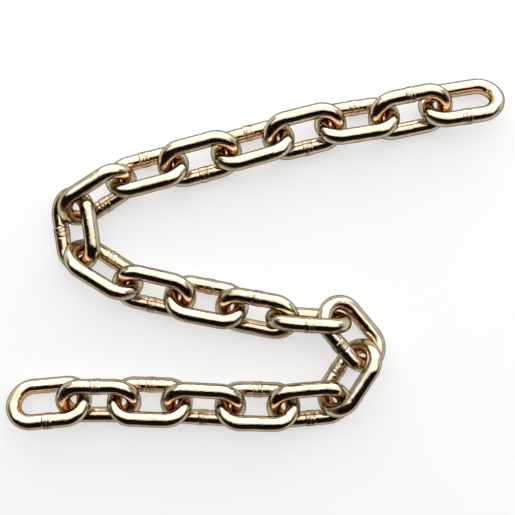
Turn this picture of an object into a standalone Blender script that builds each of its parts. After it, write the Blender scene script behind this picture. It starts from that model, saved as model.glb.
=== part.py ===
"""A length of welded transport chain, laid out in a Z on a flat floor.

Twenty-two links, each one round bar bent into a loop and butt-welded in the middle of one long
side. Units are metres and +Z is up. The origin is on the floor, in the middle of the lay.
"""

import math

import bmesh
import bpy
import numpy as np
from mathutils import Matrix, Vector

# Link sizes
BAR_DIAMETER = 0.010
INSIDE_LENGTH = 0.035
INSIDE_WIDTH = 0.014
WELD_LENGTH = 0.006
WELD_SWELL = 0.0004

# Clearance between two crowns that are hooked together, and how far apart they are left in the loose corner
SEAT_GAP = 0.0003
CORNER_SLACK = 0.002

# Fineness of the bar's mesh
BAR_SIDES = 12
CROWN_STEPS = 8

# Yellow chromate over zinc plating
PLATING_COLOUR = (0.60, 0.42, 0.16, 1.0)
PLATING_ROUGHNESS = 0.28

# Sides of a link, looking along its heading
LEFT = "left"
RIGHT = "right"

# How each link lies, from the end at the upper right of the Z to the end at its lower left: its heading
# in plan, the lean that raises its left side (or, negative, its right side), the angle that lifts its
# leading end off the floor (or, negative, its trailing end), all in degrees, the slack it has in the
# link before, and the side of its weld
LAY = (
    (189, 33, 0, 0, LEFT),
    (192, -38, 0, 0, RIGHT),
    (189, 37, 0, 0, RIGHT),
    (194, -37, 0, 0, LEFT),
    (196, 40, 0, 0, RIGHT),
    (195, -39, 0, 0, LEFT),
    (195, 40, 0, 0, RIGHT),
    (213, -56, 0, 0, LEFT),
    (278, 30, 0, CORNER_SLACK, RIGHT),
    (328, -52, 0, 0, LEFT),
    (347, 38, 0, 0, RIGHT),
    (349, -36, 0, 0, LEFT),
    (350, 36, 8, 0, LEFT),
    (356, -80, 0, 0, RIGHT),
    (310, -28, -5, 0, RIGHT),
    (237, 51, 0, 0, RIGHT),
    (185, -32, 0, 0, LEFT),
    (179, 38, 0, 0, RIGHT),
    (177, -36, 0, 0, LEFT),
    (178, 35, 0, 0, RIGHT),
    (180, -34, 0, 0, RIGHT),
    (185, 30, 0, 0, LEFT),
)

# The link that stays put while the others swing
HELD_LINK = 11

# Worked out from the sizes above
BAR_RADIUS = BAR_DIAMETER / 2
CROWN_RADIUS = (INSIDE_WIDTH + BAR_DIAMETER) / 2
STRAIGHT_LENGTH = INSIDE_LENGTH - INSIDE_WIDTH
TIP_REACH = (INSIDE_LENGTH + BAR_DIAMETER) / 2

# How finely, and how far either way, the place of a link is searched for
CURVE_STEPS = 5
SEARCH_STEPS = 24
SLACK_STEPS = 80
SIDEWAYS_REACH = INSIDE_WIDTH / 2
OVERREACH = BAR_DIAMETER / 3
MOST_SLACK = INSIDE_LENGTH / 4
MOST_TURNING = 40


def clear_scene():
    """Take every object out of the scene."""
    for item in list(bpy.data.objects):
        bpy.data.objects.remove(item, do_unlink=True)


def plating_material():
    """Make the gold-coloured plating that every link has."""
    material = bpy.data.materials.new("yellow_chromate_plating")
    material.use_nodes = True
    shader = material.node_tree.nodes["Principled BSDF"]
    shader.inputs["Base Color"].default_value = PLATING_COLOUR
    shader.inputs["Roughness"].default_value = PLATING_ROUGHNESS
    shader.inputs["Metallic"].default_value = 1.0
    return material


def crown_stations(end):
    """Rings of one half-turn crown, whose flats touch the true arc; the middle one is square at the tip."""
    step_turn = math.pi / CROWN_STEPS
    stations = []
    for step in range(CROWN_STEPS):
        angle = (step + 1 / 2) * step_turn - end * math.pi / 2
        outward = Vector((math.cos(angle), math.sin(angle), 0)) / math.cos(step_turn / 2)
        place = Vector((end * STRAIGHT_LENGTH / 2, 0, 0)) + CROWN_RADIUS * outward
        stations.append((place, outward, BAR_RADIUS))
    return stations


def weld_stations():
    """Rings of the upset weld, in the middle of the straight bar on the +Y side."""
    outward = Vector((0, 1, 0))
    half = WELD_LENGTH / 2
    steps = ((half, 0), (half / 2, WELD_SWELL), (-half / 2, WELD_SWELL), (-half, 0))
    return [(Vector((x, CROWN_RADIUS, 0)), outward, BAR_RADIUS + swell) for x, swell in steps]


def bar_stations():
    """Places along the bent bar where a ring of points is set: place, outward direction, radius."""
    return crown_stations(1) + weld_stations() + crown_stations(-1)


def link_mesh():
    """One link, centred on the origin, long in X and wide in Y, with its bar's facets square to both."""
    up = Vector((0, 0, 1))
    half_facet = math.pi / BAR_SIDES
    shape = bmesh.new()
    rings = []
    for place, outward, radius in bar_stations():
        ring = []
        for side in range(BAR_SIDES):
            angle = half_facet + 2 * math.pi * side / BAR_SIDES
            ring.append(shape.verts.new(place + radius * (math.cos(angle) * outward + math.sin(angle) * up)))
        rings.append(ring)
    for index, ring in enumerate(rings):
        ahead = rings[(index + 1) % len(rings)]
        for side in range(BAR_SIDES):
            beside = (side + 1) % BAR_SIDES
            shape.faces.new((ring[side], ring[beside], ahead[beside], ahead[side]))
    bmesh.ops.recalc_face_normals(shape, faces=shape.faces)
    mesh = bpy.data.meshes.new("chain_link")
    shape.to_mesh(mesh)
    shape.free()
    mesh.shade_smooth()
    return mesh


def centre_line():
    """Points along the middle of the bar of one link."""
    places = [np.array(place) for place, _, _ in bar_stations()]
    shares = np.arange(CURVE_STEPS)[:, None] / CURVE_STEPS
    stretches = [here + (ahead - here) * shares for here, ahead in zip(places, places[1:] + places[:1])]
    return np.concatenate(stretches)


def turned(heading, lean, nose, weld_side):
    """Rotation of a link that lies with these angles and has its weld on this side."""
    roll = lean if weld_side == LEFT else lean + 180
    return (
        Matrix.Rotation(math.radians(heading), 3, "Z")
        @ Matrix.Rotation(math.radians(-nose), 3, "Y")
        @ Matrix.Rotation(math.radians(roll), 3, "X")
    )


class LaidLink:
    """One link in its place on the floor."""

    def __init__(self, rotation, corners, curve):
        self.rotation = rotation
        self.along = rotation.col[0].copy()
        self.turned_curve = curve @ np.array(rotation).T
        self.trailing_half = self.turned_curve[curve[:, 0] <= 0]
        lowest = min((rotation @ corner).z for corner in corners)
        self.centre = Vector((0, 0, -lowest))

    def passages_of(self, other):
        """Places, in this link's own frame, where another link's bar passes through its opening."""
        offset = np.array(other.centre - self.centre)
        return passages((other.turned_curve + offset) @ np.array(self.rotation))

    def leading_tip(self):
        """Middle of the bar at the tip of the leading crown."""
        return self.centre + TIP_REACH * self.along

    def matrix(self):
        """Place and rotation together."""
        return Matrix.Translation(self.centre) @ self.rotation.to_4x4()


def passages(curve):
    """Places where a closed curve, given in a link's own frame, passes through that link's opening."""
    places = []
    for here, ahead in zip(curve, np.roll(curve, -1, axis=0)):
        if (here[2] < 0) != (ahead[2] < 0):
            place = here + (ahead - here) * here[2] / (here[2] - ahead[2])
            past_straight = max(abs(place[0]) - STRAIGHT_LENGTH / 2, 0)
            if math.hypot(past_straight, place[1]) < CROWN_RADIUS:
                places.append(place)
    return places


def seat(before, link, slack_left):
    """Pull a link along until its trailing crown hooks in the one before, or is as far from that as the
    slack left in it. False if it can't go in."""
    pull = (before.along + link.along) * Vector((1, 1, 0))
    pull.normalize()
    across = Vector((-pull.y, pull.x, 0))
    hooked = before.leading_tip() - BAR_DIAMETER * pull + TIP_REACH * link.along
    hooked.z = link.centre.z
    apart = (before.turned_curve[:, None] - link.trailing_half[None]).reshape(-1, 3)
    apart_squared = (apart**2).sum(1)[:, None]
    least_slack = slack_left or -OVERREACH
    slacks = np.linspace(least_slack, MOST_SLACK, SLACK_STEPS)
    best_slack, best_centre = math.inf, None
    for sideways in np.linspace(-SIDEWAYS_REACH, SIDEWAYS_REACH, SEARCH_STEPS + 1):
        start = hooked + across * sideways
        moves = np.array(start - before.centre) - slacks[:, None] * np.array(pull)
        squares = apart_squared - 2 * apart @ moves.T + (moves**2).sum(1)
        clear = squares.min(0) >= (BAR_DIAMETER + SEAT_GAP) ** 2
        slack = float(slacks[clear.argmax()])
        link.centre = start - slack * pull
        if clear.any() and slack < best_slack and len(before.passages_of(link)) % 2 == 1:
            best_slack, best_centre = slack, link.centre
    link.centre = best_centre
    return best_centre is not None


def lay_chain(mesh):
    """Lay the links out one after another, each rolled over only as far as it must be to go in."""
    corners = [corner.co.copy() for corner in mesh.vertices]
    curve = centre_line()
    laid = []
    for heading, lean, nose, slack_left, weld_side in LAY:
        for change in sorted(range(-MOST_TURNING, MOST_TURNING + 1), key=abs):
            link = LaidLink(turned(heading, lean + change, nose, weld_side), corners, curve)
            if not laid or seat(laid[-1], link, slack_left):
                break
        else:
            raise ValueError("the links are too narrow inside for their bar")
        laid.append(link)
    reached = [link.centre + link.rotation @ corner for link in laid for corner in corners]
    middle = [(min(p[axis] for p in reached) + max(p[axis] for p in reached)) / 2 for axis in (0, 1)]
    for link in laid:
        link.centre -= Vector((*middle, 0))
    return laid


def link_name(number):
    """Name of a link, counted from 1; the two at the ends say so."""
    return f"end_link_{number:02d}" if number in (1, len(LAY)) else f"link_{number:02d}"


def add_link(name, mesh):
    """Put a link's object in the scene."""
    link = bpy.data.objects.new(name, mesh)
    bpy.context.scene.collection.objects.link(link)
    return link


def add_pivot(name, parent):
    """Put an empty on a joint, hung from the parent link; its Z axis is the joint's."""
    pivot = bpy.data.objects.new(name, None)
    pivot.empty_display_size = BAR_DIAMETER
    bpy.context.scene.collection.objects.link(pivot)
    pivot.parent = parent
    return pivot


def hang(number, toward, laid, items, mesh):
    """Add the next link outward from the held one. It swings in its own plane, round the bar of the link
    that it hooks."""
    parent, child = laid[number - toward - 1], laid[number - 1]
    place = Matrix.Translation(child.passages_of(parent)[0])
    pivot = add_pivot(f"pivot_{number:02d}", items[number - toward])
    pivot.matrix_local = parent.matrix().inverted() @ child.matrix() @ place
    item = add_link(link_name(number), mesh)
    item.parent = pivot
    item.matrix_local = place.inverted()
    items[number] = item


def main():
    """Build the chain."""
    clear_scene()
    mesh = link_mesh()
    mesh.materials.append(plating_material())
    laid = lay_chain(mesh)
    held = add_link(link_name(HELD_LINK), mesh)
    held.matrix_world = laid[HELD_LINK - 1].matrix()
    items = {HELD_LINK: held}
    for number in range(HELD_LINK + 1, len(LAY) + 1):
        hang(number, 1, laid, items, mesh)
    for number in range(HELD_LINK - 1, 0, -1):
        hang(number, -1, laid, items, mesh)


if __name__ == "__main__":
    main()
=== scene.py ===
"""Looks of a length of welded transport chain: yellow-chromated links on a white studio floor.

Each link of the frame is dressed with a fine mesh of the same bent bar, with its upset weld, the
marks of the bending former and the dings of use. Units are metres and +Z is up.
"""

import math
import random
from typing import NamedTuple

import bpy
import numpy as np
from mathutils import Matrix, Vector, noise


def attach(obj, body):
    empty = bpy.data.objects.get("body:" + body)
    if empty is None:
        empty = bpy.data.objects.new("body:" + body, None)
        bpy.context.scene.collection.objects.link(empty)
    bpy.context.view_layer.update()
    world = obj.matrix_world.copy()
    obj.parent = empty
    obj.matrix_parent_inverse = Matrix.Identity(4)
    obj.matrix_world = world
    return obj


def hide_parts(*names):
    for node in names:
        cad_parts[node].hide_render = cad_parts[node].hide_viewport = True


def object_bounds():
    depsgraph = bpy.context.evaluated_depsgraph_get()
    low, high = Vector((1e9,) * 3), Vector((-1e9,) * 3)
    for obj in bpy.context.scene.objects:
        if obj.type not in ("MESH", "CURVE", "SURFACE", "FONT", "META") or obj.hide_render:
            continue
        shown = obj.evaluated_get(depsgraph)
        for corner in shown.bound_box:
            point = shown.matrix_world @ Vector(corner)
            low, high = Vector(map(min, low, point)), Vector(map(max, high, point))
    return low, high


bl_info = {
    "name": "Transport chain looks",
    "version": (1, 0, 0),
    "blender": (4, 5, 0),
    "location": "View3D > Sidebar > Chain",
    "description": "Dresses the links of a welded chain and sets them on a studio floor",
    "category": "Object",
}

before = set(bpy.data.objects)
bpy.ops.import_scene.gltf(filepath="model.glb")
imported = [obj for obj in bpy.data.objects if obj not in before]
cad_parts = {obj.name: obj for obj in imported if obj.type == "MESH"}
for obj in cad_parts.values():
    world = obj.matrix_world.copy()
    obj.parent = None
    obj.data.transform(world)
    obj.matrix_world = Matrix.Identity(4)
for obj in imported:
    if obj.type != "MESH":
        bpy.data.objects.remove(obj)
CAD_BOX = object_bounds()

# Attributes that the links carry for their materials
BAR_PLACE = "bar_place"
INNER_CROWN = "inner_crown"
OUTER_CROWN = "outer_crown"
FACING_OUT = "facing_out"

# Waves per metre of the bar's unevenness and of the weld's lumps, and what sets the second noise apart
WAVE_SCALE = 110
LUMP_SCALE = 700
LUMP_SEED = 50

# How sharply the former's flat and the stretch keep to the middle of a crown's inside and outside
FLAT_SHARPNESS = 4
STRETCH_SHARPNESS = 2

# The weld: shoulders that fit in its length, and how the lumps shape its collar and its seam
WELD_SHOULDERS = 12
COLLAR_LEVEL = 0.85
COLLAR_LUMPS = 0.5
SEAM_WIDTH = 0.8
SEAM_HEIGHT = 0.35
SEAM_LEVEL = 0.6

# Least and most reach of a ding in metres, and its share of the deepest ding's depth
DING_REACH = (0.0007, 0.0022)
DING_SHARE = (0.3, 1)

# Decimals to which the frame's corners are told apart
CORNER_DECIMALS = 7


class Grain(NamedTuple):
    """One noise of the plating: its waves per metre, its detail and the levels it is spread between."""

    scale: float
    detail: float
    low: float
    high: float


# Noises of the mottled chromate and of the drawn lines
MOTTLE = {
    "Patches": Grain(130, 2, 0.38, 0.62),
    "Flushes": Grain(230, 2, 0.42, 0.64),
    "Blotches": Grain(420, 3, 0.40, 0.66),
    "Specks": Grain(1500, 2, 0.58, 0.72),
}
DRAWN_LINES = Grain(2600, 2, 0.35, 0.65)
GRAIN_ROUGHNESS = 0.55

# What sets the flushes apart from the patches, and how far the drawn lines are drawn out along the bar
FLUSH_SHIFT = (0.3, 0.5, 0.7)
LINE_STRETCH = (0.035, 1.0, 1.0)

# How far a side has to turn in or out to take the whole tint, and what flushes and patches leave of it; the
# moss outside is partly painted shade on the rims, the copper toward the opening a painted reflection of
# the neighbouring links
TINT_SPAN = 0.85
MOSS_IN_FLUSHES = 0.55
COPPER_IN_PATCHES = 0.6

# Shares from no blotches to full ones: copper inside the crowns, a painted reflection of the neighbouring
# links, and copper on the bar, a random blush; brown on the weld
CROWN_PAINTED_REFLECTION = (0.6, 1.0)
BAR_COPPER = (-0.25, 0.2)
WELD_STAINS = (-0.1, 0.5)

# Shares of the blotches in the bar's dullness, of the lines in its relief and of the specks in the weld's
DULL_BLOTCHES = 0.75
RELIEF_LINES = 0.5
RELIEF_SPECKS = 0.5

# Sockets of a node that mixes two colours
MIX_SHARE, MIX_FIRST, MIX_SECOND, MIX_RESULT = 0, 6, 7, 2

# The stage: corners of the round floor, watts per square metre of a white panel, millimetres of the sensor
FLOOR_CORNERS = 96
WHITE_PANEL_WATTS = 4
SENSOR_WIDTH = 36

# Spans of direction in the room: dark side to light side, wall to ceiling and sweep to wall
LIT_SPAN = (0.0, 0.4)
CEILING_SPAN = (0.12, 0.45)
SWEEP_SPAN = (0.02, 0.12)


class ChainSizes(bpy.types.PropertyGroup):
    """Sizes of one link and of the marks on it."""

    bar_diameter: bpy.props.FloatProperty(
        name="Bar diameter",
        description="Thickness of the round bar, a little under the frame's so that crowns stay clear",
        default=0.0098,
        unit="LENGTH",
    )
    inside_length: bpy.props.FloatProperty(
        name="Inside length",
        description="Length of the opening, from crown to crown",
        default=0.0352,
        unit="LENGTH",
    )
    inside_width: bpy.props.FloatProperty(
        name="Inside width",
        description="Width of the opening, between the two straight bars",
        default=0.0142,
        unit="LENGTH",
    )
    weld_length: bpy.props.FloatProperty(
        name="Weld length",
        description="Length of the upset collar that the butt weld leaves",
        default=0.006,
        unit="LENGTH",
    )
    weld_swell: bpy.props.FloatProperty(
        name="Weld swell",
        description="How far the collar stands out of the bar",
        default=0.00026,
        unit="LENGTH",
    )
    weld_groove: bpy.props.FloatProperty(
        name="Weld groove",
        description="Depth of the groove at each end of the collar, where the flash was trimmed",
        default=0.00010,
        unit="LENGTH",
    )
    former_flat: bpy.props.FloatProperty(
        name="Former flat",
        description="How far the bending former flattened the inside of each crown",
        default=0.00014,
        unit="LENGTH",
    )
    stretch: bpy.props.FloatProperty(
        name="Crown stretch",
        description="How much thinner the bar is on the outside of each crown",
        default=0.00010,
        unit="LENGTH",
    )
    waviness: bpy.props.FloatProperty(
        name="Waviness",
        description="How far the rolled bar strays from a true cylinder",
        default=0.00009,
        unit="LENGTH",
    )
    ding_depth: bpy.props.FloatProperty(
        name="Ding depth",
        description="Depth of the deepest dings",
        default=0.00018,
        unit="LENGTH",
    )
    ding_count: bpy.props.IntProperty(
        name="Dings",
        description="Number of dings on each link",
        default=14,
    )
    bar_sides: bpy.props.IntProperty(
        name="Bar sides",
        description="Faces round the bar",
        default=40,
    )
    bar_rings: bpy.props.IntProperty(
        name="Bar rings",
        description="Rings along the bar, apart from the extra ones at the weld",
        default=144,
    )
    weld_rings: bpy.props.IntProperty(
        name="Weld rings",
        description="Rings on each half of the weld",
        default=14,
    )


class PlatingFinish(bpy.types.PropertyGroup):
    """Colours, gloss and fine relief of the yellow chromate, with the painted reflection in the copper and
    the painted shade in the moss.
    """

    gold: bpy.props.FloatVectorProperty(
        name="Gold",
        description="Colour of most of the plating",
        default=(0.60, 0.52, 0.39),
        subtype="COLOR",
        size=3,
    )
    olive: bpy.props.FloatVectorProperty(
        name="Olive",
        description="Colour of the greenish patches, where the chromate is thick",
        default=(0.40, 0.365, 0.22),
        subtype="COLOR",
        size=3,
    )
    # Copper is partly a random reddish tone of the plating and partly a painted reflection of the
    # neighbouring links, toward the openings and inside the crowns
    copper: bpy.props.FloatVectorProperty(
        name="Copper",
        description="Colour of the reddish plating toward the openings and inside the crowns",
        default=(0.76, 0.44, 0.22),
        subtype="COLOR",
        size=3,
    )
    brown: bpy.props.FloatVectorProperty(
        name="Brown",
        description="Colour of the specks, and of the stains on the weld",
        default=(0.20, 0.11, 0.07),
        subtype="COLOR",
        size=3,
    )
    # Moss is partly the film's yellow-green and partly painted shade, darkening the rims of each link where
    # the metal mirrors the floor
    moss: bpy.props.FloatVectorProperty(
        name="Moss",
        description="Colour of the outside of each link, where the chromate is yellow-green",
        default=(0.48, 0.465, 0.29),
        subtype="COLOR",
        size=3,
    )
    rose: bpy.props.FloatVectorProperty(
        name="Rose",
        description="Colour of the pinkish flushes of the chromate",
        default=(0.60, 0.48, 0.45),
        subtype="COLOR",
        size=3,
    )
    straw: bpy.props.FloatVectorProperty(
        name="Straw",
        description="Colour of the outer crowns, where the chromate is rubbed thin",
        default=(0.68, 0.63, 0.49),
        subtype="COLOR",
        size=3,
    )
    edge_tint: bpy.props.FloatVectorProperty(
        name="Edge tint",
        description="Colour of what the plating mirrors at a slant",
        default=(0.11, 0.085, 0.0),
        subtype="COLOR",
        size=3,
    )
    least_roughness: bpy.props.FloatProperty(
        name="Least roughness",
        description="Roughness of the smoothest plating",
        default=0.08,
        subtype="FACTOR",
        min=0,
        max=1,
    )
    most_roughness: bpy.props.FloatProperty(
        name="Most roughness",
        description="Roughness of the dullest plating on the bar",
        default=0.18,
        subtype="FACTOR",
        min=0,
        max=1,
    )
    weld_roughness: bpy.props.FloatProperty(
        name="Weld roughness",
        description="Roughness of the dullest plating on the weld",
        default=0.25,
        subtype="FACTOR",
        min=0,
        max=1,
    )
    olive_share: bpy.props.FloatProperty(
        name="Olive share",
        description="Share of olive in the fullest patches on the bar",
        default=0.75,
        subtype="FACTOR",
        min=0,
        max=1,
    )
    rose_share: bpy.props.FloatProperty(
        name="Rose share",
        description="Share of rose in the fullest flushes",
        default=0.75,
        subtype="FACTOR",
        min=0,
        max=1,
    )
    # Moss on the outside is partly painted shade on the rims
    moss_share: bpy.props.FloatProperty(
        name="Moss share",
        description="Share of moss on the outside of each link",
        default=0.4,
        subtype="FACTOR",
        min=0,
        max=1,
    )
    # Copper toward the opening is a painted reflection of the neighbouring links
    copper_share: bpy.props.FloatProperty(
        name="Copper share",
        description="Share of copper on the side toward the opening of each link",
        default=0.42,
        subtype="FACTOR",
        min=0,
        max=1,
    )
    straw_share: bpy.props.FloatProperty(
        name="Straw share",
        description="Share of straw on the outer crowns, between the blotches",
        default=0.55,
        subtype="FACTOR",
        min=0,
        max=1,
    )
    speck_share: bpy.props.FloatProperty(
        name="Speck share",
        description="Share of brown in the specks on the bar",
        default=0.7,
        subtype="FACTOR",
        min=0,
        max=1,
    )
    weld_speck_share: bpy.props.FloatProperty(
        name="Weld speck share",
        description="Share of brown in the specks on the weld",
        default=0.8,
        subtype="FACTOR",
        min=0,
        max=1,
    )
    bar_grain: bpy.props.FloatProperty(
        name="Bar grain",
        description="Depth of the fine relief of the plating on the bar",
        default=0.000026,
        precision=6,
        unit="LENGTH",
    )
    weld_grain: bpy.props.FloatProperty(
        name="Weld grain",
        description="Depth of the fine relief of the plating on the weld",
        default=0.00004,
        precision=6,
        unit="LENGTH",
    )


class StageSettings(bpy.types.PropertyGroup):
    """Floor, light and camera."""

    floor_radius: bpy.props.FloatProperty(
        name="Floor radius",
        description="Radius of the studio floor",
        default=12.0,
        unit="LENGTH",
    )
    floor_colour: bpy.props.FloatVectorProperty(
        name="Floor",
        description="Colour of the floor",
        default=(0.86, 0.86, 0.86),
        subtype="COLOR",
        size=3,
    )
    floor_glow: bpy.props.FloatProperty(
        name="Floor glow",
        description="Share of plain white in the floor as it is seen; the rest keeps the shadow",
        default=0.6,
        subtype="FACTOR",
        min=0,
        max=1,
    )
    panel_width: bpy.props.FloatProperty(
        name="Panel width",
        description="Width of the two soft panels",
        default=6.0,
        unit="LENGTH",
    )
    panel_depth: bpy.props.FloatProperty(
        name="Panel depth",
        description="Reach of the panel overhead, from over the chain to the upright panel behind",
        default=2.8,
        unit="LENGTH",
    )
    panel_height: bpy.props.FloatProperty(
        name="Panel height",
        description="Height of the panel overhead over the floor",
        default=2.0,
        unit="LENGTH",
    )
    panel_brightness: bpy.props.FloatProperty(
        name="Panel brightness",
        description="Brightness of the panel overhead, where 1 is white",
        default=1.45,
    )
    back_brightness: bpy.props.FloatProperty(
        name="Back brightness",
        description="Brightness of the upright panel behind, where 1 is white",
        default=2.7,
    )
    light_turn: bpy.props.FloatProperty(
        name="Light turn",
        description="Turn of the panels from the upper edge of the view toward its right edge",
        default=math.radians(10),
        subtype="ANGLE",
    )
    ceiling_light: bpy.props.FloatVectorProperty(
        name="Ceiling, light side",
        description="Colour of the room overhead, behind the panels",
        default=(0.45, 0.45, 0.45),
        subtype="COLOR",
        size=3,
    )
    ceiling_dark: bpy.props.FloatVectorProperty(
        name="Ceiling, dark side",
        description="Colour of the room overhead, on the other side",
        default=(0.010, 0.007, 0.005),
        subtype="COLOR",
        size=3,
    )
    wall_light: bpy.props.FloatVectorProperty(
        name="Wall, light side",
        description="Colour of the wall behind the panels",
        default=(0.9, 0.9, 0.9),
        subtype="COLOR",
        size=3,
    )
    wall_dark: bpy.props.FloatVectorProperty(
        name="Wall, dark side",
        description="Colour of the wall on the other side",
        default=(0.165, 0.098, 0.068),
        subtype="COLOR",
        size=3,
    )
    horizon_light: bpy.props.FloatVectorProperty(
        name="Horizon, light side",
        description="Colour of the pale sweep that the floor runs into, behind the panels",
        default=(0.8, 0.8, 0.8),
        subtype="COLOR",
        size=3,
    )
    horizon_dark: bpy.props.FloatVectorProperty(
        name="Horizon, dark side",
        description="Colour of the sweep on the other side",
        default=(0.66, 0.64, 0.62),
        subtype="COLOR",
        size=3,
    )
    camera_place: bpy.props.FloatVectorProperty(
        name="Camera",
        description="Place of the camera, which looks straight down",
        default=(0.0016, -0.0030, 0.521),
        subtype="TRANSLATION",
        size=3,
    )
    lens: bpy.props.FloatProperty(
        name="Lens",
        description="Focal length on a sensor 36 mm wide",
        default=56.0,
        unit="CAMERA",
    )


def smooth_step(values):
    """Ease from 0 to 1."""
    held = np.clip(values, 0, 1)
    return held * held * (3 - 2 * held)


class BentBar:
    """The line of the bar round one link, which starts and ends in the middle of the weld."""

    def __init__(self, sizes):
        self.crown_radius = (sizes.inside_width + sizes.bar_diameter) / 2
        self.half_straight = (sizes.inside_length - sizes.inside_width) / 2
        self.arc = math.pi * self.crown_radius
        self.length = 4 * self.half_straight + 2 * self.arc

    def at(self, along):
        """Place in the link's plane and outward direction at a distance along the bar."""
        half, arc, radius = self.half_straight, self.arc, self.crown_radius
        if along < half or along > self.length - half:
            travelled = along if along < half else along - self.length
            return (-travelled, radius), (0.0, 1.0)
        if half + arc <= along <= 3 * half + arc:
            return (along - arc - 2 * half, -radius), (0.0, -1.0)
        if along < half + arc:
            side, angle = -half, math.pi / 2 + (along - half) / radius
        else:
            side, angle = half, -math.pi / 2 + (along - 3 * half - arc) / radius
        outward = (math.cos(angle), math.sin(angle))
        return (side + radius * outward[0], radius * outward[1]), outward

    def bend(self, along):
        """How fully the bar is bent there: 0 on the straight bars, 1 in the middle of a crown."""
        tips = (self.half_straight + self.arc / 2, 3 * self.half_straight + 3 * self.arc / 2)
        from_tip = np.minimum(abs(along - tips[0]), abs(along - tips[1]))
        ease = self.arc / 3
        return smooth_step((self.arc / 2 - from_tip) / ease)

    def from_weld(self, along):
        """Distance along the bar from the middle of the weld."""
        return np.minimum(along, self.length - along)


def ring_places(bar, sizes):
    """Distances along the bar at which it gets a ring of points, closer together on the weld."""
    fine_end = sizes.weld_length
    half_step = fine_end / (4 * sizes.weld_rings)
    fine = np.linspace(0, fine_end, 2 * sizes.weld_rings, endpoint=False) + half_step
    plain = np.linspace(fine_end, bar.length - fine_end, sizes.bar_rings)
    return np.concatenate((fine, plain, (bar.length - fine)[::-1]))


class LinkSurface:
    """The surface of one link, centred on the origin, long in X and wide in Y, with its weld at +Y.

    Its arrays have a row for each ring along the bar and a column for each point round the bar.
    """

    def __init__(self, number, sizes):
        self.number, self.sizes = number, sizes
        self.bar = BentBar(sizes)
        self.radius = sizes.bar_diameter / 2
        self.places = ring_places(self.bar, sizes)
        turns = np.arange(sizes.bar_sides) * 2 * math.pi / sizes.bar_sides
        self.along, self.angles = np.meshgrid(self.places, turns, indexing="ij")
        self.section = np.stack((np.cos(self.angles), np.sin(self.angles)), -1)
        self.facing_out = self.section[..., 0]
        bend = self.bar.bend(self.along)
        self.inner = bend * np.clip(-self.facing_out, 0, 1)
        self.outer = bend * np.clip(self.facing_out, 0, 1)
        height = self.radius + self.relief()
        self.across = height * self.facing_out
        self.rise = height * self.section[..., 1]

    def unevenness(self, scale, seed):
        """Smooth noise over the surface of the bar, which has no seam round the bar."""
        heights = np.empty(self.along.shape)
        offset = Vector((seed, 2 * seed, 3 * seed))
        round_bar = self.section * self.radius
        for index in np.ndindex(heights.shape):
            place = Vector((self.along[index], *round_bar[index])) * scale
            heights[index] = noise.noise(place + offset)
        return heights

    def weld_relief(self):
        """Height of the upset collar: a lumpy swell with a seam, between two trimmed grooves."""
        sizes = self.sizes
        lumps = self.unevenness(LUMP_SCALE, self.number + LUMP_SEED)
        half = sizes.weld_length / 2
        away = self.bar.from_weld(self.along)
        shoulder = sizes.weld_length / WELD_SHOULDERS
        swell = smooth_step((half - away) / shoulder)
        collar = swell * sizes.weld_swell * (COLLAR_LEVEL + COLLAR_LUMPS * lumps)
        ridge = np.exp(-((away / (shoulder * SEAM_WIDTH)) ** 2))
        seam = ridge * sizes.weld_swell * SEAM_HEIGHT * (SEAM_LEVEL + lumps)
        groove = np.exp(-(((away - half - shoulder) / shoulder) ** 2)) * sizes.weld_groove
        return collar + seam - groove

    def ding_relief(self):
        """Depth of the dings, which lie here and there on the bar."""
        chance = random.Random(self.number)
        depth = np.zeros(self.along.shape)
        for _ in range(self.sizes.ding_count):
            place = chance.uniform(0, self.bar.length)
            turn = chance.uniform(-math.pi, math.pi)
            reach = chance.uniform(*DING_REACH)
            long_way = abs(self.along - place)
            across = abs((self.angles - turn + math.pi) % (2 * math.pi) - math.pi) * self.radius
            apart = np.minimum(long_way, self.bar.length - long_way) ** 2 + across**2
            deepest = chance.uniform(*DING_SHARE) * self.sizes.ding_depth
            depth = np.maximum(depth, deepest * np.exp(-apart / reach**2))
        return depth

    def relief(self):
        """How far the surface stands out of a true round bar."""
        sizes = self.sizes
        return (
            sizes.waviness * self.unevenness(WAVE_SCALE, self.number)
            - sizes.former_flat * self.inner**FLAT_SHARPNESS
            - sizes.stretch * self.outer**STRETCH_SHARPNESS
            + self.weld_relief()
            - self.ding_relief()
        )

    def points(self):
        """Every point of the surface."""
        laid = [self.bar.at(place) for place in self.places]
        middles, outwards = (np.array(column) for column in zip(*laid))
        points = np.zeros((*self.along.shape, 3))
        points[..., :2] = middles[:, None] + outwards[:, None] * self.across[..., None]
        points[..., 2] = self.rise
        return points

    def faces(self):
        """The four points of every face, ring after ring."""
        rings, sides = self.along.shape
        ring, side = (index.ravel() for index in np.indices(self.along.shape))
        next_ring, next_side = (ring + 1) % rings, (side + 1) % sides
        corners = ((ring, side), (next_ring, side), (next_ring, next_side), (ring, next_side))
        return np.stack([at_ring * sides + at_side for at_ring, at_side in corners], -1)

    def on_weld(self):
        """Which faces lie on the weld."""
        rings_on_weld = self.bar.from_weld(self.places) < self.sizes.weld_length / 2
        return np.repeat(rings_on_weld, self.sizes.bar_sides)

    def unrolled(self):
        """Every point as on a straight bar, far from every other link's so that no two are marked alike."""
        shifted = self.along + self.number * 2 * self.bar.length
        return np.stack((shifted, self.across, self.rise), -1)


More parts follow.
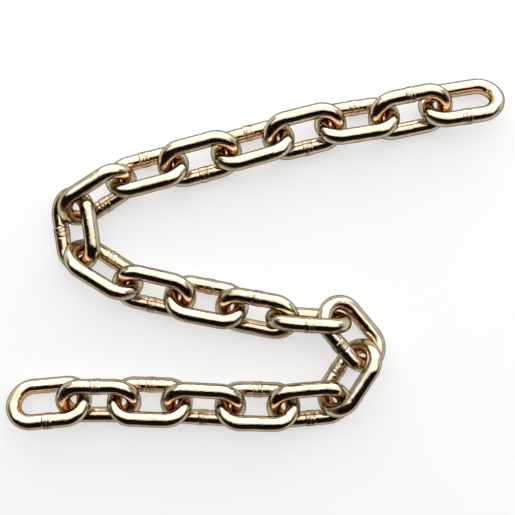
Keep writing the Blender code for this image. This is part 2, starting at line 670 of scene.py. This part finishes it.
def link_mesh(name, number, sizes):
    """Mesh of one link, with what its materials read."""
    surface = LinkSurface(number, sizes)
    mesh = bpy.data.meshes.new(name)
    mesh.from_pydata(surface.points().reshape(-1, 3).tolist(), [], surface.faces().tolist())
    mesh.shade_smooth()
    mesh.polygons.foreach_set("material_index", surface.on_weld().astype(np.int32))
    add_attribute(mesh, BAR_PLACE, "FLOAT_VECTOR", "vector", surface.unrolled())
    add_attribute(mesh, INNER_CROWN, "FLOAT", "value", surface.inner)
    add_attribute(mesh, OUTER_CROWN, "FLOAT", "value", surface.outer)
    add_attribute(mesh, FACING_OUT, "FLOAT", "value", surface.facing_out)
    return mesh


def add_attribute(mesh, name, kind, field_name, values):
    """Give each point of a mesh a value that its material can read."""
    attribute = mesh.attributes.new(name, kind, "POINT")
    attribute.data.foreach_set(field_name, values.astype(np.float32).ravel())


def link_pose(node):
    """Where a link of the frame lies: its middle, its long way in X and its weld's side in +Y."""
    corners = np.array([corner.co for corner in node.data.vertices])
    corners = np.unique(corners.round(CORNER_DECIMALS), axis=0)
    spread = corners - corners.mean(0)
    _, axes = np.linalg.eigh(spread.T @ spread)
    long_way, wide_way = axes[:, 2], axes[:, 1]
    if long_way[abs(long_way).argmax()] < 0:
        long_way = -long_way
    reach = spread @ long_way
    middle_third = reach.max() / 3
    crowns = corners[abs(reach) > middle_third]
    middle = crowns.mean(0)
    if (corners.mean(0) - middle) @ wide_way < 0:
        wide_way = -wide_way
    turn = Matrix((long_way, wide_way, np.cross(long_way, wide_way))).transposed()
    return Matrix.Translation(middle) @ turn.to_4x4()


def add_node(tree, kind, inputs=None, **settings):
    """Put a node in a tree, with values or links for its inputs."""
    node = tree.nodes.new(kind)
    for name, value in settings.items():
        setattr(node, name, value)
    for name, value in (inputs or {}).items():
        socket = node.inputs[name]
        if isinstance(value, bpy.types.NodeSocket):
            tree.links.new(value, socket)
        else:
            socket.default_value = value
    return node


def new_group(name, inputs, outputs):
    """Start a shader node group with these sockets; give back the tree and the nodes at its two ends."""
    tree = bpy.data.node_groups.new(name, "ShaderNodeTree")
    for socket_name, kind in inputs:
        tree.interface.new_socket(socket_name, in_out="INPUT", socket_type=kind)
    for socket_name, kind in outputs:
        tree.interface.new_socket(socket_name, in_out="OUTPUT", socket_type=kind)
    return tree, tree.nodes.new("NodeGroupInput"), tree.nodes.new("NodeGroupOutput")


def spread_noise(tree, place, grain):
    """Noise of a grain, stretched so that it runs from 0 to 1 between the grain's levels."""
    settings = {
        "Vector": place,
        "Scale": grain.scale,
        "Detail": grain.detail,
        "Roughness": GRAIN_ROUGHNESS,
    }
    waves = add_node(tree, "ShaderNodeTexNoise", settings).outputs["Fac"]
    return eased(tree, waves, (grain.low, grain.high))


def moved_place(tree, place, operation, by):
    """Shift or stretch the place that a noise reads."""
    node = add_node(tree, "ShaderNodeVectorMath", {0: place, 1: by}, operation=operation)
    return node.outputs["Vector"]


def mottle_group():
    """Uneven chromate: broad patches, flushes, blotches and specks, each from 0 to 1."""
    outputs = [(name, "NodeSocketFloat") for name in MOTTLE]
    tree, start, end = new_group("chromate_mottle", [("Place", "NodeSocketVector")], outputs)
    place = start.outputs["Place"]
    places = dict.fromkeys(MOTTLE, place)
    places["Flushes"] = moved_place(tree, place, "ADD", FLUSH_SHIFT)
    for name, grain in MOTTLE.items():
        tree.links.new(spread_noise(tree, places[name], grain), end.inputs[name])
    return tree


def drawn_lines_group():
    """Fine lines along the bar, left by drawing it through the die, from 0 to 1."""
    sockets = [("Place", "NodeSocketVector")], [("Lines", "NodeSocketFloat")]
    tree, start, end = new_group("drawn_lines", *sockets)
    squeezed = moved_place(tree, start.outputs["Place"], "MULTIPLY", LINE_STRETCH)
    tree.links.new(spread_noise(tree, squeezed, DRAWN_LINES), end.inputs["Lines"])
    return tree


def mixed(tree, share, first, second):
    """Mix two colours by a share."""
    inputs = {MIX_SHARE: share, MIX_FIRST: first, MIX_SECOND: second}
    return add_node(tree, "ShaderNodeMix", inputs, data_type="RGBA").outputs[MIX_RESULT]


def math_node(tree, operation, first, second):
    """Work out one value from two, kept between 0 and 1."""
    node = add_node(tree, "ShaderNodeMath", {0: first, 1: second}, operation=operation, use_clamp=True)
    return node.outputs["Value"]


def rescaled(tree, value, low, high):
    """Take a value between 0 and 1 to the range between two levels."""
    levels = {"Value": value, "To Min": low, "To Max": high}
    return add_node(tree, "ShaderNodeMapRange", levels).outputs["Result"]


def weighed(tree, first, share, second):
    """Put two values together, the first with this share and the second with the rest."""
    rest = rescaled(tree, second, 0.0, 1 - share)
    return math_node(tree, "ADD", rescaled(tree, first, 0.0, share), rest)


def eased(tree, value, span, levels=(0, 1)):
    """Go smoothly from one level to another while a value crosses a span."""
    inputs = {
        "Value": value,
        "From Min": span[0],
        "From Max": span[1],
        "To Min": levels[0],
        "To Max": levels[1],
    }
    return add_node(tree, "ShaderNodeMapRange", inputs, interpolation_type="SMOOTHSTEP").outputs["Result"]


def with_alpha(colour):
    """A colour as a socket holds it."""
    return (*colour, 1.0)


def attribute_node(tree, name):
    """Read a value that the mesh carries."""
    return add_node(tree, "ShaderNodeAttribute", attribute_name=name)


class PlatingTree:
    """What the two plating materials share: the shader, the place on the bar and the shared groups."""

    def __init__(self, name, mottle, lines, finish):
        self.material = bpy.data.materials.new(name)
        self.material.use_nodes = True
        self.tree = self.material.node_tree
        self.shader = self.tree.nodes["Principled BSDF"]
        self.shader.inputs["Metallic"].default_value = 1.0
        self.shader.inputs["Specular Tint"].default_value = with_alpha(finish.edge_tint)
        place = attribute_node(self.tree, BAR_PLACE).outputs["Vector"]
        self.mottle = self.group(mottle, place)
        self.lines = self.group(lines, place)["Lines"]

    def group(self, tree, place):
        """Place a shared group, fed with the place on the bar."""
        node = add_node(self.tree, "ShaderNodeGroup", node_tree=tree)
        self.tree.links.new(place, node.inputs["Place"])
        return node.outputs

    def tinted(self, colour, finish):
        """Tint a colour: rose in flushes as the film does, moss outside as the film's tint and as painted
        shade on the rims, copper toward the opening as a painted reflection of the neighbouring links.
        """
        tree, flushes, patches = self.tree, self.mottle["Flushes"], self.mottle["Patches"]
        facing = attribute_node(tree, FACING_OUT).outputs["Fac"]
        flushed = rescaled(tree, flushes, 0.0, finish.rose_share)
        colour = mixed(tree, flushed, colour, with_alpha(finish.rose))
        # Moss outside: the film's tint and painted shade on the rims that mirror the floor
        outside = eased(tree, facing, (0.0, TINT_SPAN), (0.0, finish.moss_share))
        moss_and_rim_shade = math_node(tree, "MULTIPLY", outside, rescaled(tree, flushes, 1.0, MOSS_IN_FLUSHES))
        colour = mixed(tree, moss_and_rim_shade, colour, with_alpha(finish.moss))
        # Copper toward the opening: painted reflection of the neighbouring links
        inside = eased(tree, facing, (-TINT_SPAN, 0.0), (finish.copper_share, 0.0))
        painted_reflection_copper = math_node(tree, "MULTIPLY", inside, rescaled(tree, patches, 1.0, COPPER_IN_PATCHES))
        return mixed(tree, painted_reflection_copper, colour, with_alpha(finish.copper))

    def dress(self, colour, roughness, height, depth):
        """Feed the shader with a colour, a roughness and a bump of this depth."""
        relief = {"Height": height, "Distance": depth, "Strength": 1.0}
        bump = add_node(self.tree, "ShaderNodeBump", relief)
        self.tree.links.new(colour, self.shader.inputs["Base Color"])
        self.tree.links.new(roughness, self.shader.inputs["Roughness"])
        self.tree.links.new(bump.outputs["Normal"], self.shader.inputs["Normal"])
        return self.material


def bar_material(mottle, lines, finish):
    """Glossy plating of the bar: gold with olive patches, copper inside the crowns as a painted reflection
    of the neighbouring links, straw outside them.
    """
    made = PlatingTree("yellow_chromate_bar", mottle, lines, finish)
    tree, blotches = made.tree, made.mottle["Blotches"]
    inner = attribute_node(tree, INNER_CROWN).outputs["Fac"]
    outer = attribute_node(tree, OUTER_CROWN).outputs["Fac"]
    patchy = rescaled(tree, made.mottle["Patches"], 0.0, finish.olive_share)
    colour = mixed(tree, patchy, with_alpha(finish.gold), with_alpha(finish.olive))
    colour = made.tinted(colour, finish)
    # Copper inside the crowns is a painted reflection of the neighbouring links; on the rest of the bar a
    # random blush
    reflection_and_blush = math_node(tree, "MULTIPLY", inner, rescaled(tree, blotches, *CROWN_PAINTED_REFLECTION))
    reflection_and_blush = math_node(tree, "MAXIMUM", reflection_and_blush, rescaled(tree, blotches, *BAR_COPPER))
    colour = mixed(tree, reflection_and_blush, colour, with_alpha(finish.copper))
    rubbed = math_node(tree, "MULTIPLY", outer, rescaled(tree, blotches, finish.straw_share, 0.0))
    colour = mixed(tree, rubbed, colour, with_alpha(finish.straw))
    specked = rescaled(tree, made.mottle["Specks"], 0.0, finish.speck_share)
    colour = mixed(tree, specked, colour, with_alpha(finish.brown))
    dull = weighed(tree, blotches, DULL_BLOTCHES, made.lines)
    roughness = rescaled(tree, dull, finish.least_roughness, finish.most_roughness)
    height = weighed(tree, made.lines, RELIEF_LINES, blotches)
    return made.dress(colour, roughness, height, finish.bar_grain)


def weld_material(mottle, lines, finish):
    """Duller plating of the weld: gold and olive with brown stains over a coarser skin."""
    made = PlatingTree("yellow_chromate_weld", mottle, lines, finish)
    tree, blotches, specks = made.tree, made.mottle["Blotches"], made.mottle["Specks"]
    colour = mixed(tree, made.mottle["Patches"], with_alpha(finish.gold), with_alpha(finish.olive))
    # The same tints as on the bar: moss partly painted shade on the rims, copper toward the opening a
    # painted reflection
    colour = made.tinted(colour, finish)
    colour = mixed(tree, rescaled(tree, blotches, *WELD_STAINS), colour, with_alpha(finish.brown))
    specked = rescaled(tree, specks, 0.0, finish.weld_speck_share)
    colour = mixed(tree, specked, colour, with_alpha(finish.brown))
    roughness = rescaled(tree, blotches, finish.most_roughness, finish.weld_roughness)
    height = math_node(tree, "ADD", blotches, rescaled(tree, specks, 0.0, RELIEF_SPECKS))
    return made.dress(colour, roughness, height, finish.weld_grain)


class CHAIN_OT_add_links(bpy.types.Operator):
    """Dress every link of the frame with its fine mesh and its plating"""

    bl_idname = "chain.add_links"
    bl_label = "Add plated links"

    def execute(self, context):
        sizes, finish = context.scene.chain_sizes, context.scene.chain_finish
        mottle, lines = mottle_group(), drawn_lines_group()
        materials = bar_material(mottle, lines, finish), weld_material(mottle, lines, finish)
        names = sorted(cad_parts, key=lambda name: name[-2:])
        for number, node_name in enumerate(names, 1):
            piece_name = f"plated_link_{number:02d}"
            mesh = link_mesh(piece_name, number, sizes)
            mesh.transform(link_pose(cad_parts[node_name]))
            for material in materials:
                mesh.materials.append(material)
            piece = bpy.data.objects.new(piece_name, mesh)
            context.scene.collection.objects.link(piece)
            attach(piece, node_name)
            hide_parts(node_name)
        return {"FINISHED"}


def floor_material(settings):
    """White floor: mostly plain white to the camera and in the metal, the rest lit so that shadows show."""
    material = bpy.data.materials.new("studio_floor")
    material.use_nodes = True
    tree = material.node_tree
    tree.nodes.remove(tree.nodes["Principled BSDF"])
    rays = add_node(tree, "ShaderNodeLightPath").outputs
    seen = math_node(tree, "ADD", rays["Is Camera Ray"], rays["Is Glossy Ray"])
    seen = math_node(tree, "ADD", seen, rays["Is Transmission Ray"])
    share = math_node(tree, "MULTIPLY", seen, settings.floor_glow)
    lit = add_node(tree, "ShaderNodeBsdfDiffuse", {"Color": with_alpha(settings.floor_colour)})
    white = add_node(tree, "ShaderNodeEmission", {"Strength": 1.0})
    shaders = {0: share, 1: lit.outputs["BSDF"], 2: white.outputs["Emission"]}
    both = add_node(tree, "ShaderNodeMixShader", shaders)
    tree.links.new(both.outputs["Shader"], tree.nodes["Material Output"].inputs["Surface"])
    return material


def add_floor(scene, settings):
    """Round floor, level with the lowest point of the frame."""
    radius = settings.floor_radius
    turns = [2 * math.pi * corner / FLOOR_CORNERS for corner in range(FLOOR_CORNERS)]
    rim = [(radius * math.cos(turn), radius * math.sin(turn), 0) for turn in turns]
    mesh = bpy.data.meshes.new("studio_floor")
    mesh.from_pydata(rim, [], [range(FLOOR_CORNERS)])
    mesh.materials.append(floor_material(settings))
    floor = bpy.data.objects.new("studio_floor", mesh)
    floor.location.z = CAD_BOX[0].z
    scene.collection.objects.link(floor)


def add_panel(scene, name, size, place, brightness, turn, lean=0.0):
    """Soft light panel that shines straight down, or leans over toward level, turned about the chain."""
    light = bpy.data.lights.new(name, "AREA")
    light.shape = "RECTANGLE"
    light.size, light.size_y = size
    light.energy = brightness * WHITE_PANEL_WATTS * light.size * light.size_y
    panel = bpy.data.objects.new(name, light)
    panel.rotation_euler = (-lean, 0, -turn)
    panel.location = Matrix.Rotation(-turn, 3, "Z") @ Vector(place)
    panel.visible_camera = False
    scene.collection.objects.link(panel)


def add_panels(scene, settings):
    """Panels from over the middle of the chain to beyond the upper edge of the view, and down behind it."""
    width, depth, height = settings.panel_width, settings.panel_depth, settings.panel_height
    turn = settings.light_turn
    overhead = (0, depth / 2, height)
    behind = (0, depth, height / 2)
    add_panel(scene, "overhead_panel", (width, depth), overhead, settings.panel_brightness, turn)
    add_panel(scene, "back_panel", (width, height), behind, settings.back_brightness, turn, math.pi / 2)


def light_room(scene, settings):
    """Plain room, light behind the panels and dark opposite, with a pale sweep all round the floor."""
    room = bpy.data.worlds.new("studio_room")
    room.use_nodes = True
    tree = room.node_tree
    direction = add_node(tree, "ShaderNodeTexCoord").outputs["Generated"]
    ahead = (math.sin(settings.light_turn), math.cos(settings.light_turn), 0)
    toward = add_node(tree, "ShaderNodeVectorMath", {0: direction, 1: ahead}, operation="DOT_PRODUCT")
    lit = eased(tree, toward.outputs["Value"], LIT_SPAN)
    height = add_node(tree, "ShaderNodeSeparateXYZ", {"Vector": direction}).outputs["Z"]
    ceiling = mixed(tree, lit, with_alpha(settings.ceiling_dark), with_alpha(settings.ceiling_light))
    wall = mixed(tree, lit, with_alpha(settings.wall_dark), with_alpha(settings.wall_light))
    colour = mixed(tree, eased(tree, height, CEILING_SPAN), wall, ceiling)
    sweep = mixed(tree, lit, with_alpha(settings.horizon_dark), with_alpha(settings.horizon_light))
    colour = mixed(tree, eased(tree, height, SWEEP_SPAN), sweep, colour)
    tree.links.new(colour, tree.nodes["Background"].inputs["Color"])
    scene.world = room


def add_camera(scene, settings):
    """Camera that looks straight down."""
    lens = bpy.data.cameras.new("camera")
    lens.lens = settings.lens
    lens.sensor_width = SENSOR_WIDTH
    camera = bpy.data.objects.new("camera", lens)
    camera.location = settings.camera_place
    scene.collection.objects.link(camera)
    scene.camera = camera


class CHAIN_OT_add_stage(bpy.types.Operator):
    """Set the links on a white floor under two soft panels, with the camera overhead"""

    bl_idname = "chain.add_stage"
    bl_label = "Add stage"

    def execute(self, context):
        scene = context.scene
        settings = scene.chain_stage
        add_floor(scene, settings)
        add_panels(scene, settings)
        light_room(scene, settings)
        add_camera(scene, settings)
        scene.view_settings.view_transform = "Standard"
        return {"FINISHED"}


class CHAIN_PT_sidebar(bpy.types.Panel):
    """Sizes, finish and stage of the chain, with a button for each step"""

    bl_idname = "CHAIN_PT_sidebar"
    bl_label = "Transport chain"
    bl_space_type = "VIEW_3D"
    bl_region_type = "UI"
    bl_category = "Chain"

    def draw(self, context):
        scene = context.scene
        steps = (
            (scene.chain_sizes, None),
            (scene.chain_finish, CHAIN_OT_add_links),
            (scene.chain_stage, CHAIN_OT_add_stage),
        )
        for group, step in steps:
            box = self.layout.box()
            for name in type(group).__annotations__:
                box.prop(group, name)
            if step:
                box.operator(step.bl_idname)


CLASSES = (
    ChainSizes,
    PlatingFinish,
    StageSettings,
    CHAIN_OT_add_links,
    CHAIN_OT_add_stage,
    CHAIN_PT_sidebar,
)


def register():
    """Make the classes and their settings known."""
    for item in CLASSES:
        bpy.utils.register_class(item)
    bpy.types.Scene.chain_sizes = bpy.props.PointerProperty(type=ChainSizes)
    bpy.types.Scene.chain_finish = bpy.props.PointerProperty(type=PlatingFinish)
    bpy.types.Scene.chain_stage = bpy.props.PointerProperty(type=StageSettings)


def unregister():
    """Take back what register did."""
    del bpy.types.Scene.chain_stage
    del bpy.types.Scene.chain_finish
    del bpy.types.Scene.chain_sizes
    for item in reversed(CLASSES):
        bpy.utils.unregister_class(item)


def main():
    """Build the looks."""
    register()
    bpy.ops.chain.add_links()
    bpy.ops.chain.add_stage()


if __name__ == "__main__":
    main()
